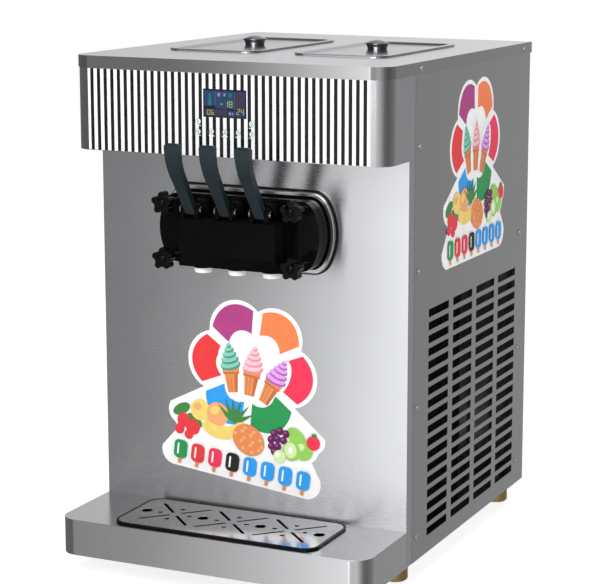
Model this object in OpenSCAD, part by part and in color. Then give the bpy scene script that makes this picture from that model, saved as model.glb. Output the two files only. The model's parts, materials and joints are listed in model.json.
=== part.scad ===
// Table-top soft serve machine: two hoppers, two freezing cylinders, three dispensing valves.
// Origin: centre of the footprint at floor level. +Z up, -Y towards the operator, millimetres.

/* [Cabinet] */
// Width over the side panels
cab_w = 540; // [530:1:560]
// Depth from the front panel's face to the rear panel's face
cab_d = 550; // [545:1:580]
// Height from the side panels' lower edge to the top surface
cab_h = 794; // [790:1:800]
// Height of the feet
foot_h = 33; // [25:1:45]
// Thickness of the cabinet's sheet steel
sheet = 1.5; // [1:0.1:2]
// Radius of the hood's and the shelf's vertical corners
corner_r = 30; // [20:1:32]
// How far the top panel stands past the sides
lip_out = 1.5; // [1:0.1:2]
// Height of the top panel's skirt
lip_h = 19; // [15:1:25]
// Length of the front panel's return along each side
return_l = 22; // [18:1:24]

/* [Hood] */
// How far the hood stands in front of the front panel
hood_out = 86; // [80:1:92]
// Height of the hood's underside above the side panels' lower edge
hood_z = 645.5; // [640:0.5:650]
// Width of the display
display_w = 74; // [60:1:80]
// Height of the display
display_h = 43; // [36:1:46]
// Spacing of the keys
key_pitch = 23; // [18:0.5:24]

/* [Shelf and drip tray] */
// How far the shelf stands in front of the front panel
shelf_out = 158; // [155:1:165]
// Height of the shelf
shelf_h = 58.7; // [50:0.1:65]
// Length of the drip tray's rim
tray_w = 356; // [340:1:380]
// Depth of the drip tray's rim
tray_d = 142; // [138:1:143]
// Corner radius of the drip tray's rim
tray_r = 25; // [22:1:30]

/* [Dispensing head] */
// Height of the head's centre above the side panels' lower edge
head_z = 525; // [520:1:530]
// Width of the polished ring
ring_w = 299; // [296:1:304]
// Height of the polished ring
ring_h = 129; // [128:1:133]
// Radius of the ring's bulged ends
bulge_r = 97; // [95:1:100]
// Width of the ring's band
ring_band = 9; // [8:1:10]
// Radius of the ring's outer corners
ring_corner = 32; // [25:1:34]
// Spacing of the handles, outlets and cylinders
valve_pitch = 60; // [58:1:62]
// Swing of a handle from shut to fully open, in degrees
handle_swing = 40; // [30:1:40]
// Length of the handle's arm from its pivot to the plunger
arm_l = 36; // [35:0.5:37]
// Radius of a plunger
plunger_r = 10; // [9:0.5:10]

/* [Hoppers] */
// Width of a lid
lid_w = 165; // [160:1:168]
// Length of a lid
lid_l = 325; // [315:1:330]
// Distance of a lid's centre from the machine's centre plane
lid_x = 112.5; // [108:0.5:115]
// Distance of a lid's centre behind the front panel
lid_y = 237; // [230:1:245]
// Depth of a hopper
hopper_depth = 150; // [120:1:150]

/* [Side louvres] */
// Rows of louvre slots
slot_rows = 18; // [12:1:18]
// Columns of louvre slots
slot_cols = 4; // [2:1:4]
// Width of a louvre slot
slot_w = 87; // [60:1:90]
// Height of a louvre slot
slot_h = 13; // [8:1:14]
// Vertical spacing of the slots
slot_pitch_z = 21.15; // [20:0.05:21.2]
// Horizontal spacing of the slots
slot_pitch_y = 106.3; // [100:0.1:107]

/* [Hidden] */
$fn = 48;

rear_lip = 4;                                            // top panel past the rear panel
front_y = (shelf_out - cab_d - rear_lip) / 2;            // front panel's face
back_y = front_y + cab_d;
top_z = foot_h + cab_h;
side_x = cab_w / 2;
in_x = side_x - sheet;                                   // inner face of a side panel
seam = 0.5;                                              // gap between neighbouring panels

function yf(v) = front_y + v;                            // distance behind the front panel
function zf(v) = foot_h + v;                             // height above the side panels' lower edge

pan_t = 2;                                               // base pan's sheet
pan_flange = 25;
foot_r = 20;
foot_x = side_x - 33;
foot_y = [yf(35), yf(503)];
post_in = in_x - pan_t;                                  // posts stand inside the pan's flange
post_t = 2;
post_leg_x = 30;
post_leg_y = 55;

slot_y0 = 84.5;                                          // first slot column behind the front panel
slot_z0 = 28.2;                                          // first slot row above the lower edge
screw_front_y = 41;
screw_rear_y = 513;
screw_front_z = [40, 252, 469, 664, 784];
screw_rear_z = [42, 252, 460, 784];
screw_r = 2;
screw_head_r = 4.5;

hood_bottom = zf(hood_z);
hood_back = 22;                                          // hood's side reaches behind the front panel
overlay_t = 0.4;
overlay_x = 241.5;
display_z = zf(729);
key_z = zf(683);
key_r = 7;
key_gap = 0.2;
key_xs = [for (i = [-2:2]) i * key_pitch];

tray_y = yf(-77.2);
tray_z = zf(shelf_h);
tray_lip_h = 3.5;
tray_depth = 26;
tray_wall = 2.5;
grate_t = 1.2;
grate_pitch = 102.5;                                     // spacing of the grate's large holes

hz = zf(head_z);
stud_x = 111.5;
stud_dz = 44;
stud_r = 4.5;
stud_tip = -84;
run_gap = 0.05;                                          // radial gap of a running fit
valve_y = -48;                                           // plunger axis, from the front panel
pivot_y = -84;
pivot_z = hz + 37;
pin_r = 4;
hub_r = 8.5;
lug_x = hub_r + 0.8;
lug_t = 6;
lug_r = 9.5;
lug_back = 20;                                           // a cheek's foot behind the pin
sleeve_r = 14;                                           // sleeve round a plunger
tub_front = 45;                                          // tub's front, from the front panel
block_top = pivot_z - hub_r - 2.5;
block_bottom = hz - 56;
port_z = hz - 18;                                        // frozen product's way from a cylinder to a plunger
port_r = 8;
plunger_lift = arm_l * sin(handle_swing);
plunger_z = port_z + port_r + 3 - plunger_lift;          // lower end of a shut plunger
bore_r = 42;                                             // freezing cylinder's bore
cyl_wall = 10;                                           // tube wall with its evaporator jacket
cyl_y0 = 14;
cyl_l = 276;
cyl_cap = 8;
shaft_r = 12;

lever_lean = 35;                                         // lean of the handle's lower half
lever_t = 11.5;
lever_top = 109;
lever_bend_z = 102.6;
lever_bend_r = 80;
lever_front = -64;
lever_half_w = 12.5;
lever_corner = 5;

hopper_w = lid_w - 10;
hopper_l = lid_l - 10;
hopper_r = 20;
hopper_t = 1;
hopper_z = top_z - hopper_depth;
lid_z = top_z + 1.6;
lid_t = 1.4;
lid_sink = 3;
tube_y = 110;

box_y = cyl_y0 + cyl_l;                                  // gearbox's front face
box_l = 84;
shaft2_r = 8;
pulley_y = box_y + box_l + 6;
pulley_w = 18;
gear_pulley_r = 58;
motor_pulley_r = 35;
groove = 5;
motor_z = 300;
motor_r = 65;
motor_l = 190;

comp_x = -160;
comp_y = yf(200);
comp_r = 85;
comp_h = 230;
cond_x0 = 195;
cond_x1 = 250;
cond_y0 = yf(95);
cond_y1 = yf(278);
cond_z0 = 60;
cond_h = 400;
fan_y = yf(186);
fan_z = 260;
fan_r = 76;
pipe_r = 5;

steel = [0.72, 0.72, 0.73];
dark = [0.08, 0.08, 0.09];
slate = [0.20, 0.24, 0.27];
chrome_c = [0.85, 0.85, 0.87];
galvanised = [0.6, 0.62, 0.63];
copper = [0.72, 0.45, 0.3];
foam = [0.9, 0.85, 0.65];

// ---- shared shapes ----

module rounded_rect(w, d, r) {
    square([w - 2 * r, d], center = true);
    square([w, d - 2 * r], center = true);
    for (sx = [-1, 1], sy = [-1, 1])
        translate([sx * (w / 2 - r), sy * (d / 2 - r)]) circle(r);
}

// Plan outline with its two front corners rounded
module front_round(w, y0, y1, r) {
    translate([-w / 2, y0 + r]) square([w, y1 - y0 - r]);
    translate([-w / 2 + r, y0]) square([w - 2 * r, y1 - y0]);
    for (s = [-1, 1]) translate([s * (w / 2 - r), y0 + r]) circle(r);
}

// The ring's outline moved inwards: straight top and bottom, bulged ends, rounded corners
module barrel(inset) {
    r = bulge_r - inset;
    c = ring_corner - inset;
    bulge_x = ring_w / 2 - bulge_r;
    corner_z = ring_h / 2 - ring_corner;
    corner_dx = sqrt(pow(bulge_r - ring_corner, 2) - pow(corner_z, 2));
    bulge_z = r * corner_z / (bulge_r - ring_corner);
    square([2 * (bulge_x + corner_dx), 2 * (corner_z + c)], center = true);
    intersection() {
        square([ring_w - 2 * inset, 2 * bulge_z], center = true);
        for (s = [-1, 1]) translate([s * bulge_x, 0]) circle(r);
    }
    for (sx = [-1, 1], sz = [-1, 1]) translate([sx * (bulge_x + corner_dx), sz * corner_z]) circle(c);
}

// Extrudes an outline drawn in X and Z towards -Y from y by t
module to_front(y, t) {
    translate([0, y, 0]) rotate([90, 0, 0]) linear_extrude(t) children();
}

// Extrudes an outline drawn in Y and Z along X, centred
module along_x(w) {
    rotate([90, 0, 90]) linear_extrude(w, center = true) children();
}

// Cylinder towards the rear, from y by h
module rod_y(r, h) {
    rotate([-90, 0, 0]) cylinder(r = r, h = h);
}

module rod_x(r, h) {
    rotate([0, 90, 0]) cylinder(r = r, h = h);
}

module span(x0, x1, y0, y1, z0, z1) {
    translate([x0, y0, z0]) cube([x1 - x0, y1 - y0, z1 - z0]);
}

// ---- cabinet ----

module base_pan() {
    vent_l = 90;
    color(galvanised) difference() {
        span(-in_x, in_x, yf(sheet), back_y - sheet, foot_h, foot_h + pan_t + pan_flange);
        span(-post_in, post_in, yf(sheet) + pan_t, back_y - sheet - pan_t, foot_h + pan_t, 200);
        for (s = [-1, 1], y = foot_y)
            translate([s * foot_x, y, 0]) cylinder(r = 5.3, h = 100);
        for (s = [-1, 1], i = [0:5])
            span(s * 75 - vent_l / 2, s * 75 + vent_l / 2, yf(250 + 24 * i), yf(260 + 24 * i), 0, 100);
    }
}

module foot() {
    color([0.75, 0.6, 0.2]) union() {
        rotate_extrude() polygon([[0, 0], [foot_r - 3, 0], [foot_r, 3], [foot_r, foot_h], [0, foot_h]]);
        cylinder(r = 5, h = foot_h + pan_t + 14);
        translate([0, 0, foot_h + pan_t]) cylinder(r = 9.5, h = 8, $fn = 6);
    }
}

module feet() {
    for (s = [-1, 1], y = foot_y) translate([s * foot_x, y, 0]) foot();
}

module corner_posts() {
    color(galvanised) for (sx = [-1, 1], sy = [0, 1]) {
        y = sy == 0 ? yf(sheet) + pan_t : back_y - sheet - pan_t;
        translate([sx * post_in, y, foot_h + pan_t]) scale_xy(-sx, sy == 0 ? 1 : -1)
            linear_extrude(top_z - sheet - foot_h - pan_t) union() {
                square([post_t, post_leg_y]);
                square([post_leg_x, post_t]);
            }
    }
}

// Mirrors its children in X and Y as the signs say
module scale_xy(sx, sy) {
    mirror([sx < 0 ? 1 : 0, 0, 0]) mirror([0, sy < 0 ? 1 : 0, 0]) children();
}

// Right-hand side panel; the left one is its mirror image
module side_panel() {
    rib_t = 1.2;
    rib_d = 6;
    rib_top = slot_z0 + slot_rows * slot_pitch_z + 6;
    color(steel) difference() {
        union() {
            span(in_x, side_x, yf(return_l + seam), back_y, foot_h, top_z - sheet);
            for (i = [2:slot_cols - 1])
                span(in_x - rib_d, in_x, yf(slot_y0 + i * slot_pitch_y - 17),
                    yf(slot_y0 + i * slot_pitch_y - 17 + rib_t), zf(30), zf(rib_top));
        }
        for (c = [0:slot_cols - 1], r = [0:slot_rows - 1])
            translate([in_x - 1, yf(slot_y0 + c * slot_pitch_y), zf(slot_z0 + r * slot_pitch_z)])
                cube([sheet + 2, slot_w, slot_h]);
        for (z = screw_front_z) translate([in_x - 1, yf(screw_front_y), zf(z)]) rod_x(screw_r + 0.2, 4);
        for (z = screw_rear_z) translate([in_x - 1, yf(screw_rear_y), zf(z)]) rod_x(screw_r + 0.2, 4);
    }
}

module side_panel_right() {
    side_panel();
}

module side_panel_left() {
    mirror([1, 0, 0]) side_panel();
}

rear_slot_w = 110;
rear_slot_h = 8;
gland_pos = [-205, 110];                                 // power inlet hole, X and Z

module rear_panel() {
    color(steel) difference() {
        span(-in_x, in_x, back_y - sheet, back_y, foot_h, top_z - sheet);
        for (c = [-1, 0], r = [0:13])
            span(c * 140 - rear_slot_w / 2, c * 140 + rear_slot_w / 2, back_y - 5, back_y + 5,
                zf(160 + 22 * r), zf(160 + 22 * r) + rear_slot_h);
        translate([gland_pos[0], back_y - 5, gland_pos[1]]) rod_y(8, 10);
    }
}

module front_panel() {
    color(steel) difference() {
        union() {
            span(-side_x, side_x, yf(0), yf(return_l), foot_h, hood_bottom - 0.2);
            span(-in_x, in_x, yf(0), yf(return_l), hood_bottom - 0.3, hood_bottom + 30);
        }
        span(-in_x, in_x, yf(sheet), yf(100), 0, 1000);
        translate([0, 0, hz]) to_front(yf(10), 20) barrel(11);
    }
}

module top_panel() {
    y0 = yf(-hood_out) - lip_out;
    color(steel) difference() {
        translate([0, 0, top_z - lip_h])
            linear_extrude(lip_h) front_round(cab_w + 2 * lip_out, y0, back_y + rear_lip, corner_r + lip_out);
        translate([0, 0, top_z - lip_h - 1])
            linear_extrude(lip_h + 1 - sheet)
                front_round(cab_w, yf(-hood_out), back_y + rear_lip - lip_out, corner_r);
        for (s = [-1, 1]) translate([s * lid_x, yf(lid_y), top_z - 5])
            linear_extrude(10) rounded_rect(hopper_w + 0.6, hopper_l + 0.6, hopper_r + 0.3);
        for (s = [-1, 1], y = [screw_front_y, screw_rear_y])
            translate([s * (side_x + 2) - 3, yf(y), zf(784)]) rod_x(screw_r + 0.2, 6);
    }
}

// ---- hood and controls ----

module hood() {
    color(steel) difference() {
        translate([0, 0, hood_bottom]) linear_extrude(top_z - sheet - hood_bottom)
            front_round(cab_w, yf(-hood_out), yf(hood_back), corner_r);
        translate([0, 0, hood_bottom + sheet]) linear_extrude(300)
            front_round(cab_w - 2 * sheet, yf(-hood_out) + sheet, yf(hood_back + 5), corner_r - sheet);
        span(-in_x, in_x, yf(0), yf(100), 0, 1000);
        translate([0, 0, display_z]) to_front(yf(-hood_out + 5), 10)
            square([display_w + 0.4, display_h + 0.4], center = true);
        for (x = key_xs) translate([x, yf(-hood_out - 1), key_z]) rod_y(key_r + key_gap, 5);
    }
}

module stripe_overlay() {
    color([0.95, 0.95, 0.95]) difference() {
        span(-overlay_x, overlay_x, yf(-hood_out) - overlay_t, yf(-hood_out), hood_bottom + 1,
            top_z - lip_h - 1);
        translate([0, 0, display_z]) to_front(yf(-hood_out + 5), 10)
            square([display_w + 0.4, display_h + 0.4], center = true);
        for (x = key_xs) translate([x, yf(-hood_out - 1), key_z]) rod_y(key_r + key_gap, 5);
    }
}

// Screen module on its circuit board, which hangs behind the hood's front
module display() {
    color([0.05, 0.1, 0.3]) union() {
        translate([0, 0, display_z]) to_front(yf(-hood_out + 9), 9 + overlay_t)
            square([display_w, display_h], center = true);
        span(-70, 70, yf(-hood_out + 9), yf(-hood_out + 11), key_z - 20, display_z + 32);
    }
}

module key(x) {
    color([0.9, 0.9, 0.9]) translate([x, yf(-hood_out) - overlay_t, key_z]) union() {
        rod_y(key_r, 4);
        rod_y(2.5, 8);
    }
}

module key_1() { key(key_xs[0]); }
module key_2() { key(key_xs[1]); }
module key_3() { key(key_xs[2]); }
module key_4() { key(key_xs[3]); }
module key_5() { key(key_xs[4]); }

// Pan-head screw along +X with its head's underside at the origin
module screw_x(grip) {
    rotate([0, 90, 0]) rotate_extrude()
        polygon([[0, -grip], [screw_r, -grip], [screw_r, 0], [screw_head_r, 0], [screw_head_r, 1.4],
            [screw_head_r - 1, 2.4], [0, 2.8]]);
}

module panel_screws() {
    color(chrome_c) for (s = [0, 1]) mirror([s, 0, 0]) {
        for (z = screw_front_z) {
            on_skirt = z > cab_h - lip_h;
            translate([side_x + (on_skirt ? lip_out : 0), yf(screw_front_y), zf(z)])
                screw_x(on_skirt ? lip_out + sheet + 2 : sheet + 2);
        }
        for (z = screw_rear_z) {
            on_skirt = z > cab_h - lip_h;
            translate([side_x + (on_skirt ? lip_out : 0), yf(screw_rear_y), zf(z)])
                screw_x(on_skirt ? lip_out + sheet + 2 : sheet + 2);
        }
    }
}

// ---- shelf and drip tray ----

module shelf() {
    color(steel) difference() {
        translate([0, 0, foot_h]) linear_extrude(shelf_h)
            front_round(cab_w, yf(-shelf_out), yf(0), corner_r);
        translate([0, 0, foot_h - 1]) linear_extrude(shelf_h + 1 - sheet)
            front_round(cab_w - 2 * sheet, yf(-shelf_out) + sheet, yf(1), corner_r - sheet);
        translate([0, tray_y, 0]) linear_extrude(200)
            rounded_rect(tray_w - 8, tray_d - 8, tray_r - 4);
    }
}

module drip_pan() {
    rim_z = tray_z + 0.3;
    color(dark) translate([0, tray_y, 0]) difference() {
        union() {
            translate([0, 0, rim_z]) linear_extrude(tray_lip_h) rounded_rect(tray_w, tray_d, tray_r);
            translate([0, 0, rim_z - tray_depth]) linear_extrude(tray_depth + 1)
                rounded_rect(tray_w - 10, tray_d - 10, tray_r - 5);
        }
        translate([0, 0, rim_z + tray_lip_h - 2]) linear_extrude(5)
            rounded_rect(tray_w - 8, tray_d - 8, tray_r - 4);
        translate([0, 0, rim_z - tray_depth + tray_wall]) linear_extrude(100)
            rounded_rect(tray_w - 18, tray_d - 18, tray_r - 9);
    }
}

// Four slotted arms and four small holes round one centre
module grate_cross() {
    for (a = [45:90:315]) rotate(a) {
        translate([11, -2.5]) square([49, 5]);
        for (x = [11, 60]) translate([x, 0]) circle(2.5);
    }
    for (a = [0:90:270]) rotate(a) translate([26.5, 0]) circle(4);
}

module drip_grate() {
    color(steel) translate([0, tray_y, tray_z + 0.3 + tray_lip_h - 1.7]) linear_extrude(grate_t)
        difference() {
            rounded_rect(tray_w - 9, tray_d - 9, tray_r - 4.5);
            for (i = [-1.5:1.5]) translate([i * grate_pitch, 2.7]) circle(8.8);
            for (i = [-1:1]) translate([i * grate_pitch, 2.7]) grate_cross();
        }
}

// ---- dispensing head ----

module head_gasket() {
    color(dark) translate([0, 0, hz]) to_front(yf(0), 2) difference() {
        barrel(-2.5);
        barrel(ring_band + 0.5);
    }
}

module head_ring() {
    color(chrome_c) translate([0, 0, hz]) to_front(yf(-2), 8) difference() {
        barrel(0);
        barrel(ring_band);
    }
}

module at_studs() {
    for (sx = [-1, 1], sz = [-1, 1]) translate([sx * stud_x, 0, hz + sz * stud_dz]) children();
}

module head_flange() {
    color(dark) difference() {
        translate([0, 0, hz]) union() {
            to_front(yf(0), 4) barrel(ring_band + 1);
            to_front(yf(cyl_y0), cyl_y0) barrel(12);
        }
        for (s = [-1, 1]) translate([s * valve_pitch, yf(-10), hz]) rod_y(bore_r, 40);
        at_studs() translate([0, yf(-10), 0]) rod_y(stud_r + 0.1, 18);
    }
}

module head_body() {
    // tub behind the studs, set back where the handles' arms move
    difference() {
        translate([0, 0, hz]) to_front(yf(-4), tub_front - 4) barrel(ring_band + 0.7);
        span(-100, 100, yf(-tub_front - 1), yf(valve_y + 11.5), block_top, hz + ring_h);
    }
    // valve block
    intersection() {
        along_x(300) polygon([[yf(-30), block_bottom], [yf(-70), block_bottom], [yf(-85), block_bottom + 22],
            [yf(-85), block_top - 4], [yf(-81), block_top], [yf(-30), block_top]]);
        linear_extrude(1000) polygon([[-101, yf(-30)], [-90, yf(-74)], [-83, yf(-85)], [83, yf(-85)],
            [90, yf(-74)], [101, yf(-30)]]);
    }
    for (i = [-1:1]) translate([i * valve_pitch, yf(valve_y), block_bottom - 3])
        cylinder(r = sleeve_r, h = block_top + 9 - block_bottom);
}

module dispensing_head() {
    port_turn = 43.6;
    color(dark) difference() {
        head_body();
        for (i = [-1:1]) translate([i * valve_pitch, yf(valve_y), 0])
            cylinder(r = plunger_r + run_gap, h = 1000);
        for (s = [-1, 1]) {
            translate([s * valve_pitch, yf(-14), hz]) rod_y(40, 20);
            translate([s * valve_pitch, yf(valve_y), port_z]) rod_y(port_r, 40);
            translate([s * 40, yf(-6), port_z]) rotate([0, 0, -s * port_turn]) rotate([90, 0, 0])
                cylinder(r = 6, h = 56);
        }
        at_studs() translate([0, yf(-60), 0]) rod_y(stud_r + 0.7, 60);
    }
}

// Cheeks that stand on the valve block and carry the handles' pins
module handle_cheeks() {
    color(dark) for (i = [-1:1], s = [-1, 1])
        translate([i * valve_pitch + s * (lug_x + lug_t / 2), yf(pivot_y), 0]) along_x(lug_t) difference() {
            union() {
                translate([0, pivot_z]) circle(lug_r);
                translate([-lug_r, block_top]) square([2 * lug_r, pivot_z - block_top]);
                translate([0, block_top]) square([lug_back, pivot_z - block_top - 4]);
            }
            translate([0, pivot_z]) circle(pin_r + 0.1);
        }
}

module outlet_caps() {
    cap_top = block_bottom - 3.2;
    color("white") for (i = [-1:1]) translate([i * valve_pitch, yf(valve_y), cap_top - 8]) difference() {
        union() {
            cylinder(r1 = 13.5, r2 = 15, h = 4);
            translate([0, 0, 4]) cylinder(r = 15, h = 4);
        }
        translate([0, 0, -1]) linear_extrude(10) union() {
            circle(6);
            for (a = [0:60:300]) rotate(a) translate([7, 0]) circle(2.6);
        }
    }
}

module head_studs() {
    color(chrome_c) at_studs() translate([0, yf(stud_tip), 0]) rod_y(stud_r, 8 - stud_tip);
}

// Five-lobed hand knob with its front face at y = 0
module head_knob() {
    color(dark) difference() {
        union() {
            to_front(16, 16) union() {
                circle(13);
                for (i = [0:4]) rotate(90 + 72 * i) translate([12.6, 0]) circle(5.4);
            }
            translate([0, 15, 0]) rod_y(8, 9);
        }
        translate([0, -5, 0]) rod_y(stud_r + run_gap, 40);
    }
}

module place_knob(sx, sz) {
    translate([sx * stud_x, yf(-90), hz + sz * stud_dz]) head_knob();
}

module head_knob_upper_left() { place_knob(-1, 1); }
module head_knob_upper_right() { place_knob(1, 1); }
module head_knob_lower_left() { place_knob(-1, -1); }
module head_knob_lower_right() { place_knob(1, -1); }

module handle_pins() {
    half = lug_x + lug_t + 0.3;
    color(chrome_c) for (i = [-1:1]) translate([i * valve_pitch, yf(pivot_y), pivot_z]) union() {
        translate([-half, 0, 0]) rod_x(pin_r, 2 * half);
        for (s = [0, 1]) mirror([s, 0, 0]) translate([half, 0, 0]) rod_x(6.5, 3);
    }
}

function arc_points(c, r, a0, a1, n) =
    [for (i = [0:n]) c + r * [cos(a0 + (a1 - a0) * i / n), sin(a0 + (a1 - a0) * i / n)]];

// Side outline of the lever, drawn in Y and Z about the pivot
module lever_outline() {
    bend = [lever_front + lever_bend_r, lever_bend_z];
    n = [cos(lever_lean), sin(lever_lean)];
    front_off = bend * n - lever_bend_r;
    polygon(concat(
        [[lever_front + lever_t - 3, lever_top], [lever_front + 4, lever_top], [lever_front, lever_top - 4]],
        arc_points(bend, lever_bend_r, 180, 180 + lever_lean, 8),
        [front_off * n, (front_off + lever_t) * n],
        arc_points(bend, lever_bend_r - lever_t, 180 + lever_lean, 180, 8),
        [[lever_front + lever_t, lever_top - 3]]));
    circle(hub_r);
    translate([0, -2.5]) square([arm_l, 5]);
    translate([arm_l, 0]) circle(4);
}

// Front outline of the lever: it widens upwards to a round-cornered top
module lever_face() {
    shoulder = lever_top - lever_corner;
    polygon([[-hub_r, -20], [hub_r, -20], [hub_r, 12], [lever_half_w, shoulder], [-lever_half_w, shoulder],
        [-hub_r, 12]]);
    for (s = [-1, 1]) translate([s * (lever_half_w - lever_corner), shoulder]) circle(lever_corner);
    translate([lever_corner - lever_half_w, shoulder - 1])
        square([2 * (lever_half_w - lever_corner), lever_corner + 1]);
}

module handle(i) {
    color(slate) translate([i * valve_pitch, yf(pivot_y), pivot_z]) difference() {
        intersection() {
            along_x(60) lever_outline();
            to_front(200, 400) lever_face();
            union() {
                span(-30, 30, -200, hub_r, -50, 200);
                span(-5, 5, 0, 60, -50, 50);
            }
        }
        translate([-30, 0, 0]) rod_x(pin_r + run_gap, 60);
    }
}

module handle_left() { handle(-1); }
module handle_centre() { handle(0); }
module handle_right() { handle(1); }

module plunger(i) {
    color(dark) translate([i * valve_pitch, yf(valve_y), 0]) difference() {
        translate([0, 0, plunger_z]) cylinder(r = plunger_r, h = pivot_z + 12 - plunger_z);
        span(-5.6, 5.6, -20, 6.5, pivot_z - 8, pivot_z + 6);
        for (z = [plunger_z + 5, plunger_z + 40]) translate([0, 0, z]) difference() {
            cylinder(r = plunger_r + 1, h = 3);
            translate([0, 0, -1]) cylinder(r = plunger_r - 1.5, h = 5);
        }
    }
}

module plunger_left() { plunger(-1); }
module plunger_centre() { plunger(0); }
module plunger_right() { plunger(1); }

// ---- hoppers ----

module hopper(s) {
    color(steel) translate([s * lid_x, yf(lid_y), 0]) difference() {
        union() {
            translate([0, 0, top_z]) linear_extrude(hopper_t)
                rounded_rect(lid_w - 4, lid_l - 4, hopper_r + 3);
            translate([0, 0, hopper_z]) linear_extrude(hopper_depth + 0.5)
                rounded_rect(hopper_w, hopper_l, hopper_r);
        }
        translate([0, 0, hopper_z + hopper_t]) linear_extrude(hopper_depth + 10)
            rounded_rect(hopper_w - 2 * hopper_t, hopper_l - 2 * hopper_t, hopper_r - hopper_t);
        translate([s * (valve_pitch - lid_x), tube_y - lid_y, hopper_z - 5]) cylinder(r = 11.1, h = 20);
    }
}

module hopper_left() { hopper(-1); }
module hopper_right() { hopper(1); }

// Foam round the freezing cylinders and round the hoppers
module insulation() {
    foam_gap = 0.4;
    color(foam) union() {
        difference() {
            span(-130, 130, yf(24), yf(cyl_y0 + cyl_l), hz - 66, hopper_z - 12);
            for (s = [-1, 1]) translate([s * valve_pitch, yf(0), hz])
                rod_y(bore_r + cyl_wall + foam_gap, cyl_l + 50);
            for (s = [-1, 1]) translate([s * valve_pitch, yf(tube_y), hz])
                cylinder(r = 11.4, h = 400);
        }
        difference() {
            span(-212, 212, yf(50), yf(425), hopper_z - 12, top_z - 25);
            for (s = [-1, 1]) {
                translate([s * lid_x, yf(lid_y), hopper_z - foam_gap]) linear_extrude(400)
                    rounded_rect(hopper_w + 1, hopper_l + 1, hopper_r + 0.5);
                translate([s * valve_pitch, yf(tube_y), 0]) cylinder(r = 11.4, h = 1000);
            }
        }
    }
}

module feed_tubes() {
    color(steel) for (s = [-1, 1]) translate([s * valve_pitch, yf(tube_y), 0]) difference() {
        union() {
            translate([0, 0, hz + bore_r + cyl_wall + 0.5])
                cylinder(r = 11, h = hopper_z + 30 - hz - bore_r - cyl_wall);
            translate([0, 0, hopper_z + 20]) cylinder(r = 7, h = 90);
        }
        translate([0, 0, hz]) cylinder(r = 5, h = 500);
    }
}

module lid(s) {
    color(steel) translate([s * lid_x, yf(lid_y), 0]) difference() {
        union() {
            translate([0, 0, lid_z]) linear_extrude(lid_t) rounded_rect(lid_w, lid_l, hopper_r + 5);
            translate([0, 0, lid_z - lid_sink]) linear_extrude(lid_sink + 0.5)
                rounded_rect(lid_w - 22, lid_l - 22, hopper_r - 2);
        }
        translate([0, 0, lid_z - lid_sink + lid_t]) linear_extrude(20)
            rounded_rect(lid_w - 25, lid_l - 25, hopper_r - 3.5);
    }
}

module lid_left() { lid(-1); }
module lid_right() { lid(1); }

module lid_knob(s) {
    base = lid_z - lid_sink + lid_t;
    color(chrome_c) translate([s * lid_x, yf(lid_y), base]) rotate_extrude()
        polygon([[0, 0], [16, 0], [17.5, 7], [20, 10], [20, 11.5], [17, 14], [11, 16], [0, 16.5]]);
}

module lid_knob_left() { lid_knob(-1); }
module lid_knob_right() { lid_knob(1); }

// ---- freezing and drive ----

module freezing_cylinders() {
    r_out = bore_r + cyl_wall;
    color(steel) for (s = [-1, 1]) translate([s * valve_pitch, yf(cyl_y0), hz]) difference() {
        rod_y(r_out, cyl_l);
        translate([0, -1, 0]) rod_y(bore_r, cyl_l - cyl_cap + 1);
        rod_y(shaft_r + run_gap, cyl_l + 10);
        translate([0, tube_y - cyl_y0, 0]) cylinder(r = 8, h = 100);
    }
}

// Scraper beater: two helical blades on end plates, driven by a shaft at the rear
module beater(s) {
    blade_l = cyl_l - cyl_cap - 12;
    blade_in = 34;
    blade_out = 40;
    color([0.95, 0.95, 0.95]) translate([s * valve_pitch, yf(cyl_y0 + 4), hz]) union() {
        rotate([-90, 0, 0]) linear_extrude(blade_l, twist = s * 360, slices = 36)
            for (a = [0, 180]) rotate(a)
                polygon([[blade_in, -4], [blade_out, -3], [blade_out, 3], [blade_in, 4]]);
        rod_y(5, blade_l);
        for (y = [0, blade_l - 5]) translate([0, y, 0]) rotate([-90, 0, 0]) linear_extrude(5)
            square([2 * blade_in + 6, 12], center = true);
        translate([0, blade_l - 1, 0]) rod_y(shaft_r, 24);
    }
}

module beater_left() { beater(-1); }
module beater_right() { beater(1); }

// Two-output reducer bolted to the rear of the cylinders
module gearbox() {
    color([0.35, 0.42, 0.5]) difference() {
        union() {
            span(-105, 105, yf(box_y), yf(box_y + box_l), hz - 48, hz + 48);
            translate([0, yf(box_y + box_l), hz]) rod_y(20, 4);
        }
        for (s = [-1, 1]) translate([s * valve_pitch, yf(box_y - 5), hz]) rod_y(shaft_r + run_gap, 25);
        translate([0, yf(box_y + box_l - 30), hz]) rod_y(shaft2_r + run_gap, 60);
    }
}

// V-belt pulley along +Y from its front face
module pulley(r) {
    rotate([-90, 0, 0]) rotate_extrude()
        polygon([[0, 0], [r, 0], [r, 3], [r - groove, 6], [r - groove, pulley_w - 6], [r, pulley_w - 3],
            [r, pulley_w], [0, pulley_w]]);
}

module gearbox_pulley() {
    color([0.3, 0.3, 0.32]) translate([0, yf(pulley_y), hz]) union() {
        pulley(gear_pulley_r);
        translate([0, -30, 0]) rod_y(shaft2_r, 36);
    }
}

module motor_pulley() {
    color([0.3, 0.3, 0.32]) translate([0, yf(pulley_y), motor_z]) union() {
        pulley(motor_pulley_r);
        translate([0, -30, 0]) rod_y(shaft2_r, 36);
    }
}

module belt_outline(extra) {
    hull() {
        translate([0, hz]) circle(gear_pulley_r - groove + extra, $fn = 64);
        translate([0, motor_z]) circle(motor_pulley_r - groove + extra, $fn = 64);
    }
}

module drive_belt() {
    belt_in = 0.6;
    belt_t = 4;
    color(dark) to_front(yf(pulley_y + pulley_w / 2 + 2.4), 4.8) difference() {
        belt_outline(belt_in + belt_t);
        belt_outline(belt_in);
    }
}

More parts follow.
